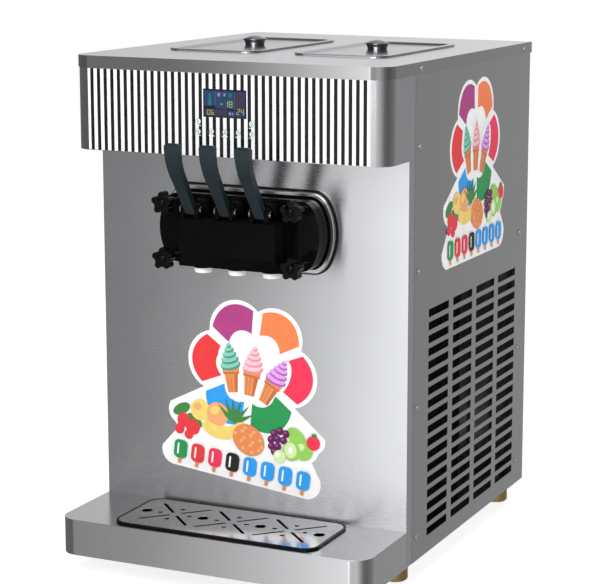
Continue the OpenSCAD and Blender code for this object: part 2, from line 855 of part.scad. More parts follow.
module drive_motor() {
    y0 = pulley_y - 8 - motor_l;
    color([0.25, 0.3, 0.38]) difference() {
        union() {
            translate([0, yf(y0), motor_z]) rod_y(motor_r, motor_l);
            for (y = [y0 + 30, y0 + 140])
                span(-70, 70, yf(y), yf(y + 22), foot_h + pan_t, motor_z - 30);
        }
        translate([0, yf(y0 + motor_l - 30), motor_z]) rod_y(shaft2_r + run_gap, 60);
        span(-58, 58, yf(0), yf(500), foot_h + pan_t + 8, motor_z - motor_r - 8);
    }
}

module compressor() {
    base = foot_h + pan_t;
    color([0.06, 0.06, 0.07]) translate([comp_x, comp_y, base]) union() {
        translate([0, 0, 12]) rotate_extrude()
            polygon([[0, 0], [comp_r - 12, 0], [comp_r - 3, 8], [comp_r - 3, 95], [comp_r, 97],
                [comp_r, 105], [comp_r - 3, 107], [comp_r - 3, comp_h - 30], [comp_r - 22, comp_h - 8],
                [0, comp_h]]);
        translate([-80, -80, 8]) cube([160, 160, 4.5]);
        for (sx = [-1, 1], sy = [-1, 1]) translate([sx * 66, sy * 66, 0]) cylinder(r = 11, h = 9);
        translate([-22, -comp_r - 10, 110]) cube([44, 18, 60]);
    }
}

module condenser() {
    plate = 2;
    fin_t = 1;
    fin_pitch = 12;
    fins = floor((cond_y1 - cond_y0 - 2 * plate) / fin_pitch);
    cond_z1 = cond_z0 + cond_h;
    color([0.15, 0.15, 0.16]) union() {
        for (y = [cond_y0, cond_y1 - plate]) span(cond_x0, cond_x1, y, y + plate, cond_z0, cond_z1);
        for (i = [1:fins]) {
            y = cond_y0 + i * fin_pitch;
            span(cond_x0 + 4, cond_x1 - 4, y, y + fin_t, cond_z0 + 6, cond_z1 - 6);
        }
        for (x = [cond_x0 + 14, cond_x1 - 14], z = [cond_z0 + 25:50:cond_z1 - 20])
            translate([x, cond_y0 + plate / 2, z]) rod_y(4.8, cond_y1 - cond_y0 - plate);
        for (y = [cond_y0 + 10, cond_y1 - 30])
            span(cond_x0 + 5, cond_x1 - 5, y, y + 20, foot_h + pan_t, cond_z0 + 7);
    }
}

module fan_shroud() {
    x0 = cond_x0 - 22;
    z0 = foot_h + pan_t;
    z1 = cond_z0 + cond_h;
    color(galvanised) difference() {
        span(x0, cond_x0, cond_y0, cond_y1, z0, z1);
        span(x0 + sheet, cond_x0 + 1, cond_y0 + sheet, cond_y1 - sheet, z0 + sheet, z1 - sheet);
        translate([x0 - 1, fan_y, fan_z]) rod_x(fan_r + 4, 20);
    }
}

module fan_motor() {
    x1 = cond_x0 - 40;
    color([0.3, 0.3, 0.32]) difference() {
        union() {
            translate([x1 - 60, fan_y, fan_z]) rod_x(36, 60);
            span(x1 - 34, x1 - 31, fan_y - 14, fan_y + 14, foot_h + pan_t, fan_z - 30);
            span(x1 - 50, x1 - 15, fan_y - 14, fan_y + 14, foot_h + pan_t, foot_h + pan_t + 3);
        }
        translate([x1 - 20, fan_y, fan_z]) rod_x(5 + run_gap, 30);
    }
}

module fan_blade() {
    x1 = cond_x0 - 40;
    color([0.8, 0.8, 0.78]) translate([x1 + 3, fan_y, fan_z]) union() {
        rod_x(16, 18);
        translate([-20, 0, 0]) rod_x(5, 22);
        for (a = [0:72:288]) rotate([a, 0, 0]) translate([9, 0, 14]) rotate([0, 0, 35])
            span(-1, 1, -16, 16, 0, fan_r - 20);
    }
}

module control_box() {
    color(galvanised) difference() {
        span(-250, -140, yf(430), yf(535), zf(450), zf(640));
        span(-248, -142, yf(425), yf(533), zf(452), zf(638));
    }
}

// Quarter bend of a tube in the XZ plane, from +X round to +Z
module bend_xz(r_bend) {
    rotate([90, 0, 0]) rotate_extrude(angle = 90) translate([r_bend, 0]) circle(pipe_r);
}

// Riser, run to the right and drop, all at one y
module pipe_run(x0, z0, x1, z1, z_top) {
    rb = 20;
    translate([x0, 0, z0]) cylinder(r = pipe_r, h = z_top - rb - z0);
    translate([x0 + rb, 0, z_top - rb]) mirror([1, 0, 0]) bend_xz(rb);
    translate([x0 + rb, 0, z_top]) rod_x(pipe_r, x1 - x0 - 2 * rb);
    translate([x1 - rb, 0, z_top - rb]) bend_xz(rb);
    translate([x1, 0, z1]) cylinder(r = pipe_r, h = z_top - rb - z1);
}

module refrigerant_pipes() {
    comp_top = foot_h + pan_t + 12 + comp_h - 14;
    cond_top = cond_z0 + cond_h - 12;
    color(copper) {
        // discharge line from the compressor to the condenser
        translate([0, comp_y - 45, 0]) union()
            pipe_run(comp_x + 5, comp_top - 4, cond_x0 + 16, cond_top, 478);
        // liquid line with its drier, rising into the insulation
        translate([0, cond_y1 - 10, 0]) union() {
            translate([cond_x0 + 16, 0, cond_top]) cylinder(r = pipe_r, h = 474 - cond_top);
            translate([0, 0, 474]) rod_x(pipe_r, cond_x0 + 16);
            translate([60, 0, 474]) rod_x(11, 90);
            translate([0, 0, 470]) cylinder(r = pipe_r, h = hz - 67 - 470);
        }
        // suction line from the insulation to the compressor
        translate([comp_x + 40, comp_y + 40, comp_top - 4]) cylinder(r = 7, h = hz - 63 - comp_top);
    }
}

base_pan();
feet();
corner_posts();
side_panel_left();
side_panel_right();
rear_panel();
front_panel();
top_panel();
hood();
stripe_overlay();
display();
key_1();
key_2();
key_3();
key_4();
key_5();
panel_screws();
shelf();
drip_pan();
drip_grate();
head_gasket();
head_ring();
head_flange();
dispensing_head();
handle_cheeks();
outlet_caps();
head_studs();
head_knob_upper_left();
head_knob_upper_right();
head_knob_lower_left();
head_knob_lower_right();
handle_pins();
handle_left();
handle_centre();
handle_right();
plunger_left();
plunger_centre();
plunger_right();
hopper_left();
hopper_right();
insulation();
feed_tubes();
lid_left();
lid_right();
lid_knob_left();
lid_knob_right();
freezing_cylinders();
beater_left();
beater_right();
gearbox();
gearbox_pulley();
motor_pulley();
drive_belt();
drive_motor();
compressor();
condenser();
fan_shroud();
fan_motor();
fan_blade();
control_box();
refrigerant_pipes();
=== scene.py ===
"""Looks of a table-top soft serve machine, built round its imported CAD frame. Metres, in the row frame."""

import json
import math

import bmesh
import bpy
from mathutils import Matrix, Vector


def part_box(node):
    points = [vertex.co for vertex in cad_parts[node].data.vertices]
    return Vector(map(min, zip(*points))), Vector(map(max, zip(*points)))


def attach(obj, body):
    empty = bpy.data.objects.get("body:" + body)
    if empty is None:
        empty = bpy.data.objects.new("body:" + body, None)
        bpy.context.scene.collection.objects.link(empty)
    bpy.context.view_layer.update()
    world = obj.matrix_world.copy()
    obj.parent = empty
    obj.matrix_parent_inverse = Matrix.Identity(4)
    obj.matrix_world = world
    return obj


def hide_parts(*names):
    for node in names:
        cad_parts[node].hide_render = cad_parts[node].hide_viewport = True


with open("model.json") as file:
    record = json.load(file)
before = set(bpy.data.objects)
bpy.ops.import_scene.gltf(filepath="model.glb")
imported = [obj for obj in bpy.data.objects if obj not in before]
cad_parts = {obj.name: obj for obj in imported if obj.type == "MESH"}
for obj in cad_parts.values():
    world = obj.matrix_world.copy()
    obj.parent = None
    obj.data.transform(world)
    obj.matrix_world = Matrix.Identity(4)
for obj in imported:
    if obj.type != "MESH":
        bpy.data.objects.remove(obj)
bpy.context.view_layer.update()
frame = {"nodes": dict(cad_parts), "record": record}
NODES = frame["nodes"]
RECORD = frame["record"]
BODY_OF = {n: b for b, ns in RECORD["behaviour"]["bodies"].items() for n in ns}
SLOT_OF = {s["node"]: s["material_slot"] for s in RECORD["subparts"]}
MM = 0.001

scene = bpy.context.scene
scene.view_settings.view_transform = "Standard"


# ---------------------------------------------------------------- node helpers


class Nodes:
    """A material's node tree with short calls to build it."""

    def __init__(self, name):
        self.mat = bpy.data.materials.new(name)
        self.mat.use_nodes = True
        self.tree = self.mat.node_tree
        self.tree.nodes.clear()
        out = self.new("OutputMaterial")
        self.bsdf = self.new("BsdfPrincipled")
        self.link(self.bsdf.outputs["BSDF"], out.inputs["Surface"])

    def new(self, kind, **inputs):
        node = self.tree.nodes.new("ShaderNode" + kind)
        for key, value in inputs.items():
            node.inputs[key.replace("_", " ")].default_value = value
        return node

    def link(self, a, b):
        self.tree.links.new(a, b)

    def noise(self, scale, detail=2.0, stretch=(1, 1, 1), rough=0.5):
        coord = self.new("TexCoord")
        mapping = self.new("Mapping")
        mapping.inputs["Scale"].default_value = stretch
        tex = self.new("TexNoise", Scale=scale, Detail=detail, Roughness=rough)
        self.link(coord.outputs["Object"], mapping.inputs["Vector"])
        self.link(mapping.outputs["Vector"], tex.inputs["Vector"])
        return tex.outputs["Fac"]

    def ranged(self, fac, low, high, at=(0.3, 0.7)):
        node = self.new("MapRange")
        for key, value in zip(("From Min", "From Max", "To Min", "To Max"), (*at, low, high)):
            node.inputs[key].default_value = value
        self.link(fac, node.inputs["Value"])
        return node.outputs["Result"]

    def ramp(self, fac, *stops):
        node = self.new("ValToRGB")
        ramp = node.color_ramp
        while len(ramp.elements) < len(stops):
            ramp.elements.new(0.5)
        for element, (place, colour) in zip(ramp.elements, stops):
            element.position = place
            element.color = (*colour, 1)
        self.link(fac, node.inputs["Fac"])
        return node.outputs["Color"]

    def bump(self, fac, strength, distance, before=None):
        node = self.new("Bump", Strength=strength, Distance=distance)
        self.link(fac, node.inputs["Height"])
        if before is not None:
            self.link(before.outputs["Normal"], node.inputs["Normal"])
        self.link(node.outputs["Normal"], self.bsdf.inputs["Normal"])
        return node


def shade(colour, k):
    return tuple(min(1, max(0, c * k)) for c in colour)


def metal(name, colour, rough, grain=(14, 14, 900), axis="Z", aniso=0.0, turn=0.25, smear=0.02):
    """Sheet steel with a brushed grain, faint smears and handling marks."""
    n = Nodes(name)
    b = n.bsdf
    lines = n.noise(1.0, 3, grain, 0.6)
    clouds = n.noise(5.0, 4, (1, 1, 1), 0.6)
    n.link(
        n.ramp(lines, (0.3, shade(colour, 0.985)), (0.7, shade(colour, 1.015))),
        b.inputs["Base Color"],
    )
    mix = n.new("Math")
    mix.operation = "ADD"
    n.link(n.ranged(clouds, rough - smear, rough + smear), mix.inputs[0])
    n.link(n.ranged(lines, -0.01, 0.01), mix.inputs[1])
    n.link(mix.outputs[0], b.inputs["Roughness"])
    n.bump(lines, 0.0015, 0.0002, n.bump(n.noise(2.2, 1), 0.002, 0.02))
    b.inputs["Metallic"].default_value = 1.0
    if aniso:
        b.inputs["Anisotropic"].default_value = aniso
        b.inputs["Anisotropic Rotation"].default_value = turn
        tangent = n.new("Tangent")
        tangent.direction_type = "RADIAL"
        tangent.axis = axis
        n.link(tangent.outputs["Tangent"], b.inputs["Tangent"])
    return n.mat


def solid(name, colour, rough, metallic=0.0, vary=0.06, grain=900.0, bump=0.04, depth=0.0001, spec=0.5,
          smear=0.05, cloud=9.0):
    """Plastic, rubber, paint or plain metal: mottled colour, uneven gloss and a fine moulded surface."""
    n = Nodes(name)
    b = n.bsdf
    clouds = n.noise(cloud, 4, (1, 1, 1), 0.6)
    n.link(
        n.ramp(clouds, (0.3, shade(colour, 1 - vary)), (0.7, shade(colour, 1 + vary))),
        b.inputs["Base Color"],
    )
    n.link(n.ranged(clouds, max(0.02, rough - smear), rough + smear), b.inputs["Roughness"])
    n.bump(n.noise(grain, 2), bump, depth)
    b.inputs["Metallic"].default_value = metallic
    b.inputs["Specular IOR Level"].default_value = spec
    return n.mat


def ink(name, colour, rough=0.38, vary=0.05):
    return solid(name, colour, rough, vary=vary, grain=2500, bump=0.02, depth=0.00003, spec=0.35, cloud=40)


def lit(name, colour, power):
    """Back-lit segment of a screen."""
    n = Nodes(name)
    b = n.bsdf
    n.link(n.ramp(n.noise(160, 2), (0.3, shade(colour, 0.8)), (0.7, colour)), b.inputs["Base Color"])
    n.link(n.ramp(n.noise(160, 2), (0.3, shade(colour, 0.75)), (0.7, colour)), b.inputs["Emission Color"])
    b.inputs["Emission Strength"].default_value = power
    b.inputs["Roughness"].default_value = 0.2
    return n.mat


# These steels are copies of one stainless sheet. Beside their different grain and gloss, their base tones are
# set per face to how light falls there: the up-facing tops are painted lighter, the top panel's skirt and the
# side panels are painted darker, and the shelf's top is painted darker than its front.
STEEL = (0.70, 0.705, 0.72)
WALL = metal("steel_wall", STEEL, 0.26, aniso=0.88)
SKIRT = metal("steel_skirt_painted_shade", (0.58, 0.58, 0.585), 0.12, aniso=0.5)
SIDE = metal("steel_side_painted_shade", (0.60, 0.60, 0.605), 0.30, aniso=0.6)
TOP = metal("steel_top_painted_light", (0.84, 0.845, 0.86), 0.24, grain=(900, 14, 900))
SHELF_WALL = metal("steel_shelf_wall", (0.80, 0.80, 0.81), 0.28, aniso=0.85)
SHELF_TOP = metal("steel_shelf", (0.66, 0.66, 0.665), 0.19, grain=(14, 900, 900))
LID = metal("steel_lid", (0.55, 0.555, 0.565), 0.17, grain=(900, 14, 900))
CHROME = solid("polished_steel", (0.82, 0.82, 0.84), 0.07, 1.0, vary=0.02, grain=300, bump=0.01, smear=0.03)
RING = solid("ring_steel", (0.60, 0.60, 0.61), 0.22, 1.0, vary=0.03, grain=300, bump=0.01, smear=0.03)
# The lid knobs' chrome gets a dark base colour: painted shade for the dark surroundings it mirrors.
CHROME_PAINTED_SHADE = solid("chrome_painted_shade", (0.26, 0.26, 0.27), 0.10, 1.0, vary=0.05, grain=300, bump=0.01, smear=0.03)
GRATE = metal("steel_grate", (0.74, 0.745, 0.75), 0.13, grain=(20, 900, 900))
ZINC = solid("zinc", (0.20, 0.21, 0.21), 0.45, 0.9, vary=0.12, grain=120, bump=0.05, cloud=35)
BRASS = solid("foot_metal", (0.40, 0.31, 0.10), 0.38, 0.7, vary=0.15, grain=500, bump=0.1, cloud=60)
GLOSS = solid("gloss_black_plastic", (0.003, 0.003, 0.003), 0.12, vary=0.2, grain=260, bump=0.012, spec=0.07,
              smear=0.03)
BLACK = solid("black_plastic", (0.005, 0.005, 0.006), 0.28, vary=0.15, grain=1400, bump=0.05, spec=0.2)
KNOB = solid("knob_black", (0.003, 0.003, 0.003), 0.20, vary=0.15, grain=900, bump=0.02, spec=0.12)
RUBBER = solid("black_rubber", (0.010, 0.010, 0.010), 0.55, vary=0.2, grain=1500, bump=0.15, spec=0.3)
SLATE = solid("slate_plastic", (0.014, 0.023, 0.028), 0.27, vary=0.10, grain=1600, bump=0.03, spec=0.32,
              smear=0.05)
WHITE = solid("white_plastic", (0.86, 0.86, 0.85), 0.35, vary=0.03, grain=1200, bump=0.05)
FOAM = solid("foam", (0.80, 0.72, 0.48), 0.85, vary=0.14, grain=220, bump=0.5, depth=0.001, cloud=18)
PAINT = solid("grey_paint", (0.08, 0.10, 0.13), 0.42, vary=0.12, grain=600, bump=0.08)
DARK_PAINT = solid("black_paint", (0.010, 0.010, 0.011), 0.40, vary=0.2, grain=700, bump=0.08, spec=0.3)
SCREW = solid("screw_steel", (0.46, 0.46, 0.47), 0.24, 0.60, vary=0.08, grain=700, bump=0.03)
MACHINED = solid("machined_metal", (0.42, 0.42, 0.43), 0.3, 1.0, vary=0.1, grain=900, bump=0.06)
COPPER = solid("copper_tube", (0.72, 0.36, 0.20), 0.3, 1.0, vary=0.15, grain=300, bump=0.05, cloud=30)
GLASS = solid("screen_glass", (0.006, 0.010, 0.040), 0.09, vary=0.25, grain=200, bump=0.004, spec=0.4,
              cloud=60)
FILM_W = ink("film_white", (0.86, 0.86, 0.87), 0.30, 0.015)
FILM_K = ink("film_black", (0.004, 0.004, 0.005), 0.30, 0.15)

BY_SLOT = {
    "brushed_steel": WALL, "side_steel": SIDE, "polished_steel": CHROME, "galvanised": ZINC,
    "foot_brass": BRASS, "stripe_film": FILM_W, "lcd": GLASS, "key_film": FILM_W, "black_plastic": BLACK,
    "gloss_black": GLOSS, "slate_plastic": SLATE, "white_plastic": WHITE, "foam": FOAM, "grey_paint": PAINT,
    "black_paint": DARK_PAINT, "machined_steel": MACHINED, "belt_rubber": RUBBER, "copper": COPPER,
}


# ---------------------------------------------------------------- piece helpers


def place(obj, body, slot, *nodes):
    """Rides the piece on its body and hides the CAD nodes it stands for. Its slot is not used."""
    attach(obj, body)
    if nodes:
        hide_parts(*nodes)
    return obj


def piece(name, bm, mats, body, slot, *nodes, smooth=None):
    """Turns a bmesh into a riding piece. Edges sharper than smooth degrees stay crisp."""
    mesh = bpy.data.meshes.new(name)
    bmesh.ops.recalc_face_normals(bm, faces=bm.faces)
    bm.to_mesh(mesh)
    bm.free()
    for m in mats if isinstance(mats, (list, tuple)) else [mats]:
        mesh.materials.append(m)
    if smooth is not None:
        mesh.shade_smooth()
        mesh.set_sharp_from_angle(angle=math.radians(smooth))
    obj = bpy.data.objects.new(name, mesh)
    scene.collection.objects.link(obj)
    return place(obj, body, slot, *nodes)


def softened(node, width, mats=None, segments=2, angle=30, pick=None):
    """A copy of a CAD node with its edges rounded, in place of it."""
    bm = bmesh.new()
    bm.from_mesh(NODES[node].data)
    bmesh.ops.remove_doubles(bm, verts=bm.verts, dist=2e-6)
    bmesh.ops.dissolve_limit(
        bm, angle_limit=math.radians(0.4), use_dissolve_boundaries=False, verts=bm.verts, edges=bm.edges,
        delimit=set(),
    )
    for f in bm.faces:
        f.material_index = pick(f) if pick else 0
    slot = SLOT_OF[node]
    obj = piece(node + "_body", bm, mats or BY_SLOT[slot], BODY_OF[node], slot, node, smooth=35)
    bevel = obj.modifiers.new("edges", "BEVEL")
    bevel.width = width
    bevel.segments = segments
    bevel.limit_method = "ANGLE"
    bevel.angle_limit = math.radians(angle)
    bevel.use_clamp_overlap = True
    bevel.harden_normals = False
    weighted = obj.modifiers.new("normals", "WEIGHTED_NORMAL")
    weighted.keep_sharp = True
    weighted.weight = 80
    return obj


def lathe(bm, profile, centre, axis="Z", steps=64):
    """Turns (radius, height) points round an axis through centre."""
    rings = []
    for r, h in profile:
        ring = []
        for i in range(1 if r == 0 else steps):
            a = 2 * math.pi * i / steps
            p = {
                "Z": (r * math.cos(a), r * math.sin(a), h),
                "-Y": (r * math.cos(a), -h, r * math.sin(a)),
                "X": (h, r * math.cos(a), r * math.sin(a)),
                "-X": (-h, r * math.cos(a), r * math.sin(a)),
            }[axis]
            ring.append(bm.verts.new(Vector(centre) + Vector(p)))
        rings.append(ring)
    for a, b in zip(rings, rings[1:]):
        for i in range(steps):
            j = (i + 1) % steps
            quad = [a[i % len(a)], a[j % len(a)], b[j % len(b)], b[i % len(b)]]
            seen = list(dict.fromkeys(quad))
            if len(seen) > 2:
                bm.faces.new(seen)
    for ring in (rings[0], rings[-1]):
        if len(ring) > 1:
            bm.faces.new(ring)


def prism(bm, points, lift, thick, to_world, index=0):
    """A flat printed or cut shape: points in the sheet's own plane, from lift to lift + thick above it."""
    low = [bm.verts.new(to_world(u, v, lift)) for u, v in points]
    high = [bm.verts.new(to_world(u, v, lift + thick)) for u, v in points]
    bm.faces.new(high).material_index = index
    bm.faces.new(list(reversed(low))).material_index = index
    for i in range(len(points)):
        j = (i + 1) % len(points)
        bm.faces.new((low[i], low[j], high[j], high[i])).material_index = index


def oval(cx, cz, rx, rz=None, turn=0.0, steps=24, a0=0, a1=360):
    rz = rx if rz is None else rz
    t = math.radians(turn)
    whole = a1 - a0 >= 360
    out = []
    for i in range(steps if whole else steps + 1):
        a = math.radians(a0 + (a1 - a0) * i / steps)
        x, z = rx * math.cos(a), rz * math.sin(a)
        out.append((cx + x * math.cos(t) - z * math.sin(t), cz + x * math.sin(t) + z * math.cos(t)))
    return out


def turned(points, cx, cz, degrees):
    t = math.radians(degrees)
    c, n = math.cos(t), math.sin(t)
    return [(cx + (x - cx) * c - (z - cz) * n, cz + (x - cx) * n + (z - cz) * c) for x, z in points]


def bar(x0, z0, x1, z1, r=0.0):
    """Rectangle, with rounded corners where r is given."""
    if r <= 0:
        return [(x0, z0), (x1, z0), (x1, z1), (x0, z1)]
    out = []
    corners = ((x1 - r, z1 - r, 0), (x0 + r, z1 - r, 90), (x0 + r, z0 + r, 180), (x1 - r, z0 + r, 270))
    for cx, cz, a in corners:
        out += [(cx + r * math.cos(math.radians(a + 15 * k)), cz + r * math.sin(math.radians(a + 15 * k)))
                for k in range(7)]
    return out


def front_plane(x0, y0, z0):
    """Sheet facing the operator: u to the right, v up, lift towards the operator."""
    return lambda u, v, w: Vector((x0 + u * MM, y0 - w * MM, z0 + v * MM))


def cut(obj, cutters):
    """Cuts closed shapes out of a mesh once, and leaves plain geometry."""
    mesh = bpy.data.meshes.new("cutter")
    cutters.to_mesh(mesh)
    cutters.free()
    tool = bpy.data.objects.new("cutter", mesh)
    scene.collection.objects.link(tool)
    mod = obj.modifiers.new("cut", "BOOLEAN")
    mod.object, mod.operation, mod.solver = tool, "DIFFERENCE", "EXACT"
    bpy.context.view_layer.update()
    done = bpy.data.meshes.new_from_object(obj.evaluated_get(bpy.context.evaluated_depsgraph_get()))
    obj.modifiers.remove(mod)
    obj.data = done
    bpy.data.objects.remove(tool)


# ---------------------------------------------------------------- cabinet

FRONT_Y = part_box("front_panel")[0].y
SIDE_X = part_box("side_panel_right")[1].x
FILM_LOW, FILM_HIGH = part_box("stripe_overlay")
HOOD_Y = FILM_LOW.y


def up_or_wall(f):
    return 1 if f.normal.z > 0.7 else 0


# Up-facing faces take a separate copy of the steel in another tone: painted light on the tops of front panel,
# hood and top panel, painted shade on the shelf's top.
for cad_node, width, wall, top in (("front_panel", 0.6, WALL, TOP), ("hood", 0.6, WALL, TOP),
                                   ("shelf", 0.9, SHELF_WALL, SHELF_TOP), ("top_panel", 0.9, SKIRT, TOP)):
    softened(cad_node, width * MM, [wall, top], 3, pick=up_or_wall)
for cad_node, width in (("drip_pan", 0.9), ("head_flange", 0.5), ("handle_cheeks", 0.9),
                        ("dispensing_head", 1.2), ("outlet_caps", 0.5), ("feet", 0.8), ("rear_panel", 0.3)):
    softened(cad_node, width * MM, segments=3)
softened("head_ring", 2.4 * MM, RING, 4)
softened("drip_grate", 0.25 * MM, GRATE)


# ---------------------------------------------------------------- striped control film, screen and keys

STRIPE_PITCH = 12.0
STRIPE_W = 6.0
STRIPES = 40
PRINT = 0.05


def stripe_edges():
    for i in range(STRIPES):
        centre = (i - (STRIPES - 1) / 2) * STRIPE_PITCH
        yield centre - STRIPE_W / 2
        yield centre + STRIPE_W / 2


def on_stripe(x_mm):
    k = x_mm / STRIPE_PITCH + (STRIPES - 1) / 2
    return abs(k - round(k)) * STRIPE_PITCH < STRIPE_W / 2 and -0.5 < k < STRIPES - 0.5


def split_at_stripes(bm):
    for x in stripe_edges():
        bmesh.ops.bisect_plane(bm, geom=bm.verts[:] + bm.edges[:] + bm.faces[:], plane_co=(x * MM, 0, 0),
                               plane_no=(1, 0, 0))
    for f in bm.faces:
        f.material_index = 1 if on_stripe(f.calc_center_median().x / MM) else 0


def film():
    bm = bmesh.new()
    size = FILM_HIGH - FILM_LOW
    centre = (FILM_HIGH + FILM_LOW) / 2
    bmesh.ops.create_cube(bm, size=1, matrix=Matrix.Translation(centre) @ Matrix.Diagonal((*size, 1)))
    split_at_stripes(bm)
    obj = piece("stripe_film", bm, [FILM_W, FILM_K], "cabinet", "stripe_film", "stripe_overlay")
    tools = bmesh.new()
    gap = 0.2 * MM
    bmesh.ops.create_cube(tools, size=1, matrix=Matrix.Translation((0, HOOD_Y, SCREEN_Z))
                          @ Matrix.Diagonal((SCREEN_W + gap * 2, 0.01, SCREEN_H + gap * 2, 1)))
    for i in range(1, 6):
        a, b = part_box(f"key_{i}")
        bmesh.ops.create_cone(tools, cap_ends=True, segments=48, radius1=(b.x - a.x) / 2 + gap,
                              radius2=(b.x - a.x) / 2 + gap, depth=0.01,
                              matrix=Matrix.Translation(((a.x + b.x) / 2, HOOD_Y, (a.z + b.z) / 2))
                              @ Matrix.Rotation(math.pi / 2, 4, "X"))
    cut(obj, tools)


SCREEN_W = 74 * MM
SCREEN_H = 43 * MM
SCREEN_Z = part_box("display")[1].z - 32 * MM  # the circuit board reaches this far above the screen's middle
film()

DIGITS = {"0": "abcdef", "1": "bc", "2": "abged", "3": "abgcd", "4": "fgbc", "5": "afgcd", "6": "afgedc",
          "7": "abc", "8": "abcdefg", "9": "abcdfg", "-": "g"}


def digit(bm, ch, x, z, w, h, t, to_world, index):
    """Seven-segment digit with its lower left corner at x, z."""
    m = z + h / 2
    places = {"a": bar(x + t, z + h - t, x + w - t, z + h), "d": bar(x + t, z, x + w - t, z + t),
              "g": bar(x + t, m - t / 2, x + w - t, m + t / 2), "f": bar(x, m + t / 4, x + t, z + h - t / 3),
              "b": bar(x + w - t, m + t / 4, x + w, z + h - t / 3), "e": bar(x, z + t / 3, x + t, m - t / 4),
              "c": bar(x + w - t, z + t / 3, x + w, m - t / 4)}
    for s in DIGITS[ch]:
        prism(bm, places[s], 0.12, 0.04, to_world, index)


def screen():
    plane = front_plane(0, HOOD_Y, SCREEN_Z)
    w, h = SCREEN_W / MM / 2, SCREEN_H / MM / 2
    blue = lit("screen_blue", (0.012, 0.036, 0.095), 0.22)
    teal = lit("screen_teal", (0.006, 0.110, 0.120), 0.40)
    plum = lit("screen_plum", (0.030, 0.020, 0.055), 0.22)
    green = lit("screen_green", (0.25, 0.30, 0.03), 0.50)
    pale = lit("screen_pale", (0.14, 0.17, 0.28), 0.35)
    bm = bmesh.new()
    prism(bm, bar(-w + 2.2, -4, -16.8, h - 2.4, 0.8), 0.02, 0.03, plane, 0)
    prism(bm, bar(-15.8, -8, 15.8, h - 2.4, 0.8), 0.02, 0.03, plane, 0)
    prism(bm, bar(17.6, -10, w - 2.2, h - 2.4, 0.8), 0.02, 0.03, plane, 2)
    prism(bm, bar(-w + 2.2, -h + 2, 4, -9, 0.8), 0.02, 0.03, plane, 2)
    prism(bm, bar(5, -h + 2, w - 2.2, -11, 0.8), 0.02, 0.03, plane, 0)
    prism(bm, bar(-27.5, -2, -23.5, 15, 1.6), 0.08, 0.03, plane, 1)
    prism(bm, oval(-25.5, -0.5, 3.4), 0.08, 0.04, plane, 1)
    for x, s in ((-10, 2.6), (0, 2.2), (10, 2.6)):
        prism(bm, oval(x, 13.5, s, s * 1.2), 0.12, 0.04, plane, 4 if x <= 0 else 1)
    prism(bm, bar(16.6, -9, 17.0, h - 3), 0.12, 0.04, plane, 4)
    prism(bm, bar(-16.4, -4, -16.0, h - 3), 0.12, 0.04, plane, 4)
    for k in range(4):
        prism(bm, bar(-12 + 5 * k, 3.4 + k, -9 + 5 * k, 7.8 + 1.2 * k), 0.12, 0.04, plane, 0)
    for text, x, z, dw, dh in (("-18", -8.5, -5.5, 6.2, 9.5), ("06", -30.5, -18, 5.0, 8.0),
                               ("24", 20.5, -16, 5.4, 9.0)):
        for k, ch in enumerate(text):
            digit(bm, ch, x + k * (dw + 1.6), z, dw, dh, dw * 0.2, plane, 3)
    prism(bm, oval(9, -15, 2.2), 0.12, 0.04, plane, 4)
    prism(bm, bar(12.5, -17, 14.5, -13), 0.12, 0.04, plane, 4)
    piece("screen_segments", bm, [blue, teal, plum, green, pale], "cabinet", "lcd")


screen()

ICON_PALE = ink("icon_pale", (0.74, 0.78, 0.78), 0.3)
ICON_GREY = ink("icon_grey", (0.32, 0.36, 0.37), 0.3)
ICON_TEAL = ink("icon_teal", (0.42, 0.60, 0.55), 0.3)


def cone_icon(bm, plane, x, z, k):
    """Small cone pictogram on a pale disc with its bar, k times its base size."""
    prism(bm, oval(x, z, 4.5 * k), 0.04, PRINT, plane, 3)
    prism(bm, oval(x, z, 3.8 * k), 0.06, PRINT, plane, 2)
    prism(bm, [(x - 1.7 * k, z - 0.2 * k), (x + 1.7 * k, z - 0.2 * k), (x + 0.3 * k, z - 3.0 * k),
               (x - 0.3 * k, z - 3.0 * k)], 0.08, PRINT, plane, 3)
    for dz, r in ((0.5, 2.0), (1.6, 1.5), (2.5, 0.9)):
        prism(bm, oval(x, z + dz * k, r * k, 0.7 * k), 0.10 + 0.02 * dz, PRINT, plane, 4)
    prism(bm, bar(x - 4.6 * k, z - 6.6 * k, x + 4.6 * k, z - 5.4 * k, 0.4), 0.06, PRINT, plane, 2)


